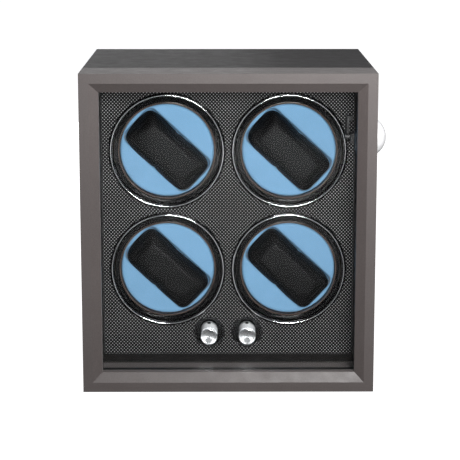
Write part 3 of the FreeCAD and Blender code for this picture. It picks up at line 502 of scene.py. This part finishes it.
def sharpen(obj, degrees):
    """Smooth shading that breaks at real edges."""
    limit = math.radians(degrees)
    bm = bmesh.new()
    bm.from_mesh(obj.data)
    for edge in bm.edges:
        if len(edge.link_faces) == 2 and edge.calc_face_angle(0.0) > limit:
            edge.smooth = False
    bm.to_mesh(obj.data)
    bm.free()


def circle(cx, cy, radius, count):
    points = []
    for step in range(count):
        angle = math.radians(360.0 * step / count)
        points.append((cx + radius * math.cos(angle), cy + radius * math.sin(angle)))
    return points


def facing_front(x, y, z):
    """Local Z points out of the front, local X to the right, local Y up."""
    return Matrix(((1, 0, 0, x), (0, 0, -1, y), (0, 1, 0, z), (0, 0, 0, 1)))


WELD = 1e-6


def islands(node):
    """Boxes of the separate solids of a CAD node, as (lowest, highest) corners."""
    bm = bmesh.new()
    bm.from_mesh(nodes[node].data)
    bmesh.ops.remove_doubles(bm, verts=bm.verts, dist=WELD)
    waiting = set(bm.verts)
    boxes = []
    while waiting:
        reached = [waiting.pop()]
        low = reached[0].co.copy()
        high = low.copy()
        while reached:
            vert = reached.pop()
            for axis in range(3):
                low[axis] = min(low[axis], vert.co[axis])
                high[axis] = max(high[axis], vert.co[axis])
            for edge in vert.link_edges:
                other = edge.other_vert(vert)
                if other in waiting:
                    waiting.remove(other)
                    reached.append(other)
        boxes.append((low, high))
    bm.free()
    return sorted(boxes, key=lambda pair: (round(pair[0].z, 4), round(pair[0].x, 4)))


# ---------------------------------------------------------------- CAD pieces: finish and edges

for piece in frame["record"]["subparts"]:
    paint(nodes[piece["node"]], piece["material_slot"])

for name in ("case_top_board", "case_bottom_board", "case_left_board", "case_right_board",
             "door_top_rail", "door_bottom_rail", "door_left_stile", "door_right_stile"):
    soften_edges(nodes[name], CASE_EDGE)
# Painted shade: the steel lock screw is given the black lock colour instead of steel.
nodes["lock_screw"].data.materials[0] = MATERIALS["lock_black"]
nodes["lock_knob"].data.materials[0] = MATERIALS["satin_dome"]
for name in ROTOR_NAMES:
    cup = nodes["rotor_cup_" + name]
    cup.data.materials[0] = cup_material("cup_" + name, centre_of("rotor_cup_" + name))
    soften_edges(cup, SMALL_EDGE)
for name in ("back_panel", "door_glass", "foot_strip", "interior_lining", "lock_strike",
             "lock_pawl", "control_board"):
    soften_edges(nodes[name], SMALL_EDGE)


# ---------------------------------------------------------------- bezels, knobs and screws

RING_STEPS = 224
DRUM_GAP = 0.8 * MM
SLEEVE_WALL = 0.8 * MM
BEAD_OFFSET = 2.7 * MM
BEAD_HEIGHT = 1.5 * MM
BEAD_RADIUS = 0.85 * MM
BEAD_POINTS = 16


def bezel(name):
    """Black flange and sleeve with a thin chrome bead, round one rotor hole."""
    cup_centre = centre_of("rotor_cup_" + name)
    rings_low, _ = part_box("bezel_rings")
    left_centre = centre_of("rotor_cup_top_left")
    outer = left_centre.x - rings_low.x
    inner = size_of("rotor_cup_" + name).x / 2 + DRUM_GAP
    sleeve = inner + SLEEVE_WALL
    fascia_low, fascia_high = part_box("fascia_panel")
    depth = fascia_high.y - fascia_low.y
    place = facing_front(cup_centre.x, fascia_low.y, cup_centre.z)
    bead = inner + BEAD_OFFSET
    flange = [(inner, -depth), (inner, 0.9 * MM), (inner + 0.25 * MM, 1.35 * MM),
              (inner + 0.8 * MM, 1.6 * MM), (bead - 0.8 * MM, 1.45 * MM),
              (bead, 1.35 * MM), (bead + 0.9 * MM, 1.3 * MM), (outer - 0.7 * MM, 1.1 * MM),
              (outer - 0.15 * MM, 0.7 * MM), (outer, 0.3 * MM), (outer, 0.0),
              (sleeve, 0.0), (sleeve, -depth)]
    flange_mesh = turned_mesh("bezel_flange_" + name, flange, RING_STEPS)
    ring = new_object("bezel_flange_" + name, flange_mesh, "gloss_black", "case",
                      place)
    sharpen(ring, 40.0)
    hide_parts("bezel_rings")
    section = circle(bead, BEAD_HEIGHT, BEAD_RADIUS, BEAD_POINTS)
    bead_mesh = turned_mesh("bezel_bead_" + name, section, RING_STEPS)
    trim = new_object("bezel_bead_" + name, bead_mesh, "chrome_trim", "case",
                      place)
    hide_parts("bezel_rings")


KNOB_STEPS = 288
KNOB_TEETH = 72
TOOTH_DEPTH = 0.28 * MM
TEETH_FROM = -3.85 * MM
TEETH_TO = -0.95 * MM
POCKET_REACH = 0.5 * MM
STEM_RADIUS = 3.0 * MM
SIDE_INSET = 0.15 * MM
MARK_START = 4.0 * MM
MARK_LENGTH = 7.5 * MM


def knob(side):
    """Turned knob with a dished face, a knurled collar and a dark block of painted shade for its
    notch.
    """
    node = "control_knob_" + side
    low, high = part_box(node)
    middle = centre_of(node)
    radius = size_of(node).x / 2
    body_end = low.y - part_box("rotary_switches")[0].y + POCKET_REACH
    stem = STEM_RADIUS
    stem_end = low.y - high.y
    side_radius = radius - SIDE_INSET
    profile = [(0.0, -0.75 * MM), (0.5 * radius, -0.42 * MM), (0.80 * radius, -0.12 * MM),
               (0.84 * radius, 0.0), (0.90 * radius, 0.0), (0.96 * radius, -0.35 * MM),
               (radius, -0.9 * MM), (radius, -1.0 * MM), (radius, -3.8 * MM),
               (radius, -3.9 * MM), (side_radius - 0.45 * MM, -4.3 * MM),
               (side_radius - 0.45 * MM, -4.8 * MM), (side_radius, -5.2 * MM),
               (side_radius, body_end + 0.5 * MM), (side_radius - 0.5 * MM, body_end),
               (stem, body_end), (stem, stem_end), (0.0, stem_end)]
    place = facing_front(middle.x, low.y, middle.z)
    teeth = (TEETH_FROM, TEETH_TO, KNOB_TEETH, TOOTH_DEPTH)
    mesh = turned_mesh(node + "_turned", profile, KNOB_STEPS, teeth)
    turned = new_object(node + "_turned", mesh, "knob_metal", "knob_" + side, place)
    sharpen(turned, 28.0)
    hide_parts(node)
    mark = notch_shade_block(node + "_mark", side_radius, body_end + MARK_START, MARK_LENGTH)
    # Painted shade: the dark colour of this block stands for the shade in the knob's notch.
    mark = new_object(node + "_mark", mark, "dark_mark", "knob_" + side, place)
    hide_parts(node)


MARK_HALF_ANGLE = math.radians(10.0)
MARK_SUNK = 0.3 * MM
MARK_PROUD = 0.12 * MM
MARK_EDGE = 0.08 * MM


def notch_shade_block(name, radius, start, length):
    """Raised dark block of painted shade on the top of a knob's side, standing for its notch,
    curved to match it.
    """
    half = MARK_HALF_ANGLE
    bm = bmesh.new()
    rows = []
    for level in (radius - MARK_SUNK, radius + MARK_PROUD):
        for along in (start, start + length):
            rows.append([bm.verts.new((level * math.sin(angle), level * math.cos(angle), along))
                         for angle in (-half, -half / 2, 0.0, half / 2, half)])
    inner_near, inner_far, outer_near, outer_far = rows
    for first, second in ((outer_near, outer_far), (outer_far, inner_far),
                          (inner_far, inner_near), (inner_near, outer_near)):
        for step in range(len(first) - 1):
            bm.faces.new((first[step], first[step + 1], second[step + 1], second[step]))
    for end in (0, -1):
        bm.faces.new([row[end] for row in (inner_near, inner_far, outer_far, outer_near)])
    outward(bm)
    bmesh.ops.bevel(bm, geom=bm.edges, offset=MARK_EDGE, segments=1, affect="EDGES")
    return mesh_from(bm, name)


CROSS_ARM_SHARE = 0.32
CROSS_WIDTH_SHARE = 0.25
CROSS_SUNK = 0.2 * MM
CROSS_PROUD = 0.04 * MM


def painted_shade_crosses(node, body):
    """Dark crosses of painted shade that stand for the shaded recesses in screws driven from the
    back.
    """
    bm = bmesh.new()
    for low, high in islands(node):
        middle = (low + high) / 2
        arm = CROSS_ARM_SHARE * (high.x - low.x)
        half = CROSS_WIDTH_SHARE * arm
        outline = [(arm, -half), (arm, half), (half, half), (half, arm), (-half, arm),
                   (-half, half), (-arm, half), (-arm, -half), (-half, -half), (-half, -arm),
                   (half, -arm), (half, -half)]
        rows = [[bm.verts.new((middle.x + x, high.y + lift, middle.z + z)) for x, z in outline]
                for lift in (-CROSS_SUNK, CROSS_PROUD)]
        for k in range(len(outline)):
            after = (k + 1) % len(outline)
            bm.faces.new((rows[0][k], rows[0][after], rows[1][after], rows[1][k]))
        bm.faces.new(reversed(rows[0]))
        bm.faces.new(rows[1])
    outward(bm)
    # Painted shade: these dark crosses stand for the shade inside the screw recesses.
    mesh = mesh_from(bm, node + "_recesses")
    new_object(node + "_recesses", mesh, "dark_mark", body)


painted_shade_crosses("pan_head_screws", "case")
for rotor in ROTOR_NAMES:
    bezel(rotor)
for side in SIDE_NAMES:
    knob(side)


# ---------------------------------------------------------------- soft goods

# Soft pieces are worked on at this many times their size
GROWTH = 10.0
TILT = math.radians(43.0)


def rotor_place(name, face_y):
    """Local X runs along the seat, local Y across it and local Z out of the front."""
    middle = centre_of("rotor_cup_" + name)
    return facing_front(middle.x, face_y, middle.z) @ Matrix.Rotation(-TILT, 4, "Z")


def skin_of(node, place, voxel, shrink):
    """Even skin of a CAD soft solid in its local frame, GROWTH times its size, shrunk a bit."""
    mesh = nodes[node].data.copy()
    mesh.transform(place.inverted())
    mesh.transform(Matrix.Scale(GROWTH, 4))
    obj = bpy.data.objects.new("skin", mesh)
    bpy.context.scene.collection.objects.link(obj)
    remesh = obj.modifiers.new("even", "REMESH")
    remesh.mode = "VOXEL"
    remesh.voxel_size = voxel * GROWTH
    relax = obj.modifiers.new("relax", "SMOOTH")
    relax.factor = 0.5
    relax.iterations = 3
    settle(obj)
    move_points(obj.data, lambda co, normal: co - normal * shrink * GROWTH)
    return obj


def move_points(mesh, rule):
    """Moves every point to rule(place, normal), with all normals read before any point moves."""
    count = len(mesh.vertices)
    places = [0.0] * (3 * count)
    normals = [0.0] * (3 * count)
    mesh.vertices.foreach_get("co", places)
    mesh.vertices.foreach_get("normal", normals)
    moved = []
    for start in range(0, 3 * count, 3):
        moved.extend(rule(Vector(places[start:start + 3]), Vector(normals[start:start + 3])))
    mesh.vertices.foreach_set("co", moved)
    mesh.update()


def settle(obj):
    """Replaces an object's mesh by what its modifiers make of it."""
    seen = obj.evaluated_get(bpy.context.evaluated_depsgraph_get())
    mesh = bpy.data.meshes.new_from_object(seen)
    obj.modifiers.clear()
    obj.data = mesh


FILL_FRAMES = 20


def inflate(obj, pressure, limit):
    """Fills the closed skin by cloth simulation; no point moves further than the limit.
    """
    start = [vert.co.copy() for vert in obj.data.vertices]
    cloth = obj.modifiers.new("fill", "CLOTH")
    cloth.settings.quality = 4
    cloth.settings.mass = 0.3
    cloth.settings.tension_stiffness = 18.0
    cloth.settings.compression_stiffness = 18.0
    cloth.settings.shear_stiffness = 8.0
    cloth.settings.bending_stiffness = 0.6
    cloth.settings.use_pressure = True
    cloth.settings.uniform_pressure_force = pressure
    cloth.settings.effector_weights.gravity = 0.0
    cloth.collision_settings.use_collision = False
    for step in range(1, FILL_FRAMES + 1):
        bpy.context.scene.frame_set(step)
    settle(obj)
    bpy.context.scene.frame_set(1)
    for vert, before in zip(obj.data.vertices, start):
        shift = vert.co - before
        if shift.length > limit * GROWTH:
            vert.co = before + shift * (limit * GROWTH / shift.length)


def subdivided(obj, times):
    finer = obj.modifiers.new("finer", "SUBSURF")
    finer.levels = times
    finer.render_levels = times
    settle(obj)


def outline_distance(x, y, half_x, half_y, corner):
    """Signed distance from a rounded rectangle, negative inside."""
    across = abs(x) - half_x + corner
    up = abs(y) - half_y + corner
    outside = math.hypot(max(across, 0.0), max(up, 0.0))
    return outside + min(max(across, up), 0.0) - corner


def outline_points(half_x, half_y, corner, spacing):
    """Evenly spaced points of a rounded rectangle, with their directions."""
    points = []
    for quarter in range(4):
        turn = math.radians(90.0 * quarter)
        reach_x, reach_y = (half_x, half_y) if quarter % 2 == 0 else (half_y, half_x)
        run = 2.0 * (reach_y - corner)
        count = max(2, round(run / spacing))
        for step in range(count):
            points.append(turned(reach_x, -reach_y + corner + run * (step + 0.5) / count, turn))
        bend = 0.5 * math.pi * corner
        count = max(2, round(bend / spacing))
        for step in range(count):
            angle = 0.5 * math.pi * (step + 0.5) / count
            points.append(turned(reach_x - corner + corner * math.cos(angle),
                                 reach_y - corner + corner * math.sin(angle), turn))
    return points


def turned(x, y, angle):
    return (x * math.cos(angle) - y * math.sin(angle), x * math.sin(angle) + y * math.cos(angle))


# Share of the length, share of the radius, and lift in radii, along one stitch
STITCH_PROFILE = ((-0.5, 0.45, -0.5), (-0.3, 0.95, 0.35), (0.0, 1.0, 0.6), (0.3, 0.95, 0.35),
                  (0.5, 0.45, -0.5))
STITCH_SIDES = 6
ABOVE_CUSHION = 0.1


def thread_mesh(name, surface, path, length, radius):
    """Short raised stitches laid end to end on a surface, along a closed path."""
    tree = BVHTree.FromPolygons([v.co for v in surface.vertices],
                                [f.vertices for f in surface.polygons])
    bm = bmesh.new()
    count = len(path)
    for index in range(count):
        previous = Vector((*path[index - 1], 0.0))
        following = Vector((*path[(index + 1) % count], 0.0))
        along = (following - previous).normalized()
        middle = Vector((*path[index], 0.0))
        rows = []
        for share, thick, lift in STITCH_PROFILE:
            spot = middle + along * share * length
            above = Vector((spot.x, spot.y, ABOVE_CUSHION))
            hit, normal, _, _ = tree.ray_cast(above, Vector((0, 0, -1)))
            if hit is None:
                break
            side_way = normal.cross(along).normalized()
            centre = hit + normal * lift * radius
            rows.append([bm.verts.new(centre + radius * thick * (side_way * math.cos(angle)
                                      + normal * math.sin(angle)))
                         for angle in [math.pi * k / 3.0 for k in range(STITCH_SIDES)]])
        for first, second in zip(rows, rows[1:]):
            for k in range(STITCH_SIDES):
                after = (k + 1) % STITCH_SIDES
                bm.faces.new((first[k], first[after], second[after], second[k]))
        if len(rows) > 1:
            bm.faces.new(reversed(rows[0]))
            bm.faces.new(rows[-1])
    outward(bm)
    mesh = mesh_from(bm, name)
    shade_smooth(mesh)
    return mesh


# Half sizes along and across the cushion, which its box, square to the case, doesn't give
CUSHION_HALF_LENGTH = 44.9 * MM
CUSHION_HALF_WIDTH = 21.9 * MM
SEAT_HALF_LENGTH = 45.3 * MM
SEAT_HALF_WIDTH = 22.3 * MM
LOWER_BOW = 4.6 * MM
UPPER_BOW = 0.6 * MM
TOP_SPREAD = 0.05
CROWN = 1.4 * MM
ROLL_START = 0.55
ROLL_DROP = 30.0 * MM
SEAM_HALF_LENGTH = CUSHION_HALF_LENGTH - 5.6 * MM
SEAM_HALF_WIDTH = CUSHION_HALF_WIDTH - 4.8 * MM
SEAM_CORNER = 5.0 * MM
SEAM_DEPTH = 0.55 * MM
SEAM_SPREAD = 0.7 * MM
CUSHION_VOXEL = 2.2 * MM
CUSHION_SHRINK = 0.7 * MM
CUSHION_PRESSURE = 4.0
CUSHION_FILL = 2.2 * MM
SEAT_SHARE = 0.8
TOP_FACING = 0.15
UNEVENNESS = 0.45 * MM
UNEVENNESS_SCALE = 60.0
STITCH_PITCH = 2.9 * MM
STITCH_LENGTH = 2.0 * MM
STITCH_RADIUS = 0.2 * MM
STITCH_INSET = 1.5 * MM
PAD_VOXEL = 1.7 * MM
PAD_SHRINK = 0.1 * MM


def cushion_shape():
    """One filled cushion in its local frame, resting on the plane Z = 0."""
    node = "watch_cushion_top_left"
    place = rotor_place("top_left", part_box(node)[1].y)
    skin = skin_of(node, place, CUSHION_VOXEL, CUSHION_SHRINK)
    inflate(skin, CUSHION_PRESSURE, CUSHION_FILL)
    subdivided(skin, 2)
    skin.data.transform(Matrix.Scale(1.0 / GROWTH, 4))
    seat_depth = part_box(node)[1].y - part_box("rotor_pad_top_left")[0].y
    thickness = size_of(node).y
    move_points(skin.data, lambda co, normal: shaped(co, normal, seat_depth, thickness))
    return skin


def shaped(co, normal, seat_depth, thickness):
    """Settles a filled skin: flat on its seat, snug between the seat walls, crowned above."""
    height = max(0.0, co.z)
    rise = min(1.0, height / thickness)
    along = min(1.0, abs(co.x) / CUSHION_HALF_LENGTH)
    across = min(1.0, abs(co.y) / CUSHION_HALF_WIDTH)
    if height > seat_depth * SEAT_SHARE:
        bow = LOWER_BOW if co.y < 0.0 else UPPER_BOW
        co.y += math.copysign(bow * (1.0 - along * along) * rise * across, co.y)
        co.y *= 1.0 + TOP_SPREAD * rise * rise
        height += CROWN * (1.0 - along * along) * (1.0 - across * across)
        roll = max(0.0, -co.x / CUSHION_HALF_LENGTH - ROLL_START)
        height -= ROLL_DROP * roll * roll
    if height < seat_depth:
        co.y = max(-SEAT_HALF_WIDTH, min(SEAT_HALF_WIDTH, co.y))
        co.x = max(-SEAT_HALF_LENGTH, min(SEAT_HALF_LENGTH, co.x))
    co.z = max(0.0, height)
    away = abs(outline_distance(co.x, co.y, SEAM_HALF_LENGTH, SEAM_HALF_WIDTH, SEAM_CORNER))
    if normal.z > TOP_FACING:
        co.z -= SEAM_DEPTH * math.exp(-(away / SEAM_SPREAD) ** 2)
    return co


def vary(mesh, seed, amount, scale):
    """A little unevenness of its own for each copy of a soft piece."""
    offset = Vector((seed * 3.1, seed * 1.7, seed * 2.3))

    def rule(co, normal):
        if co.z < 1.0 * MM:
            return co
        return co + normal * amount * noise.noise(co * scale + offset)

    move_points(mesh, rule)


def make_cushions():
    shape = cushion_shape()
    for seed, name in enumerate(ROTOR_NAMES):
        node = "watch_cushion_" + name
        place = rotor_place(name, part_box(node)[1].y)
        mesh = shape.data.copy()
        vary(mesh, seed + 1, UNEVENNESS, UNEVENNESS_SCALE)
        shade_smooth(mesh)
        cover = new_object("leather_cushion_" + name, mesh, "cushion_leather",
                           "cushion_" + name, place)
        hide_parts(node)
        path = outline_points(SEAM_HALF_LENGTH - STITCH_INSET, SEAM_HALF_WIDTH - STITCH_INSET,
                              SEAM_CORNER - 1.0 * MM, STITCH_PITCH)
        threads = thread_mesh("cushion_stitches_" + name, mesh, path, STITCH_LENGTH,
                              STITCH_RADIUS)
        stitches = new_object("cushion_stitches_" + name, threads, "thread",
                              "cushion_" + name, place)
        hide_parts(node)
    bpy.data.objects.remove(shape)


def pad_shape():
    """One pad in its local frame, kept within the round outline of its CAD solid."""
    node = "rotor_pad_top_left"
    place = rotor_place("top_left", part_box(node)[0].y)
    skin = skin_of(node, place, PAD_VOXEL, PAD_SHRINK)
    subdivided(skin, 1)
    skin.data.transform(Matrix.Scale(1.0 / GROWTH, 4))
    reach = size_of(node).x / 2

    def rule(co, normal):
        out = math.hypot(co.x, co.y)
        if out <= reach:
            return co
        return Vector((co.x * reach / out, co.y * reach / out, co.z))

    move_points(skin.data, rule)
    return skin


def make_pads():
    shape = pad_shape()
    for name in ROTOR_NAMES:
        node = "rotor_pad_" + name
        place = rotor_place(name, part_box(node)[0].y)
        mesh = shape.data.copy()
        shade_smooth(mesh)
        pad = new_object("suede_pad_" + name, mesh, "pad_blue", "rotor_" + name,
                         place)
        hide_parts(node)
    bpy.data.objects.remove(shape)


make_pads()
make_cushions()


# ---------------------------------------------------------------- stage, light and camera

def area_light(name, place, target, size, power):
    data = bpy.data.lights.new(name, "AREA")
    data.shape = "RECTANGLE"
    data.size = size[0]
    data.size_y = size[1]
    data.energy = power
    lamp = bpy.data.objects.new(name, data)
    bpy.context.scene.collection.objects.link(lamp)
    lamp.location = place
    aim = Vector(target) - Vector(place)
    lamp.rotation_euler = aim.to_track_quat("-Z", "Y").to_euler()
    lamp.visible_camera = False
    return lamp


def accent(lamp, starts, left_out):
    """Lets a lamp light only the pieces whose names start as given."""
    lit = bpy.data.collections.new("lit_by_" + lamp.name)
    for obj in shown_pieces():
        if obj.name.startswith(starts) and not obj.name.startswith(left_out):
            lit.objects.link(obj)
    lamp.light_linking.receiver_collection = lit


def camera_sees(world_tree, seen, unseen):
    """Mixes what the camera sees directly with what lights the object."""
    path = world_tree.nodes.new("ShaderNodeLightPath")
    mixer = world_tree.nodes.new("ShaderNodeMixShader")
    world_tree.links.new(path.outputs["Is Camera Ray"], mixer.inputs[0])
    world_tree.links.new(unseen, mixer.inputs[1])
    world_tree.links.new(seen, mixer.inputs[2])
    return mixer.outputs[0]


def make_world():
    """Studio that the camera sees as white, while it lights the box only dimly."""
    world = bpy.data.worlds.new("studio")
    bpy.context.scene.world = world
    world.use_nodes = True
    tree = world.node_tree
    dim = tree.nodes["Background"]
    dim.inputs["Color"].default_value = (0.30, 0.31, 0.33, 1.0)
    dim.inputs["Strength"].default_value = 0.35
    white = tree.nodes.new("ShaderNodeBackground")
    white.inputs["Color"].default_value = (1.0, 1.0, 1.0, 1.0)
    white.inputs["Strength"].default_value = 1.0
    shown = camera_sees(tree, white.outputs[0], dim.outputs[0])
    tree.links.new(shown, tree.nodes["World Output"].inputs["Surface"])


FLOOR_REACH = 20.0


def make_floor():
    """Pale floor that the camera sees as white, while it lights the box as plain grey."""
    mesh = bpy.data.meshes.new("floor")
    reach = FLOOR_REACH
    corners = [(-reach, -reach, 0.0), (reach, -reach, 0.0), (reach, reach, 0.0),
               (-reach, reach, 0.0)]
    mesh.from_pydata(corners, [], [(0, 1, 2, 3)])
    floor = bpy.data.objects.new("floor", mesh)
    bpy.context.scene.collection.objects.link(floor)
    mat = bpy.data.materials.new("floor")
    mat.use_nodes = True
    tree = mat.node_tree
    plain = tree.nodes["Principled BSDF"]
    plain.inputs["Base Color"].default_value = (0.62, 0.62, 0.62, 1.0)
    plain.inputs["Roughness"].default_value = 0.9
    glow = tree.nodes.new("ShaderNodeEmission")
    glow.inputs["Color"].default_value = (1.0, 1.0, 1.0, 1.0)
    glow.inputs["Strength"].default_value = 1.0
    both = tree.nodes.new("ShaderNodeAddShader")
    tree.links.new(plain.outputs[0], both.inputs[0])
    tree.links.new(glow.outputs[0], both.inputs[1])
    shown = camera_sees(tree, both.outputs[0], plain.outputs[0])
    tree.links.new(shown, tree.nodes["Material Output"].inputs["Surface"])
    mesh.materials.append(mat)
    floor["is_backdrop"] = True


CAMERA_LENS = 121.1
CAMERA_SHIFT = -0.12
CAMERA_DISTANCE = 1.534
CAMERA_HEIGHT = 0.516
CAMERA_ASIDE = -0.0058
CAMERA_DOWN = 10.54
CAMERA_TURN = -0.28


def make_camera():
    data = bpy.data.cameras.new("camera")
    data.sensor_width = 36.0
    data.lens = CAMERA_LENS
    data.shift_y = CAMERA_SHIFT
    camera = bpy.data.objects.new("camera", data)
    bpy.context.scene.collection.objects.link(camera)
    door_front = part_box("door_top_rail")[0].y
    camera.location = (CAMERA_ASIDE, door_front - CAMERA_DISTANCE, CAMERA_HEIGHT)
    camera.rotation_euler = (math.radians(90.0 - CAMERA_DOWN), 0.0, math.radians(CAMERA_TURN))
    data.clip_start = 0.1
    data.clip_end = 60.0
    bpy.context.scene.camera = camera


make_world()
make_floor()
make_camera()
# Name, place, target, size and power of each lamp; the key lamp makes the door's gradient
area_light("front", (0.12, -1.75, 0.62), (0.0, -0.05, 0.17), (0.50, 0.35), 27.0)
area_light("right_wall", (1.5, -0.3, 0.6), (0.1, 0.0, 0.2), (1.0, 1.4), 8.0)
area_light("back_soft", (-0.5, 1.7, 0.25), (0.0, 0.1, 0.2), (1.2, 0.5), 10.0)
key = area_light("key", (0.22, -0.62, 0.62), (0.04, -0.10, 0.20), (0.16, 0.16), 13.0)
accent(key, ("door_", "control_knob_", "lock_knob"), ("door_glass",))

scene = bpy.context.scene
scene.view_settings.view_transform = "Standard"
scene.view_settings.look = "None"
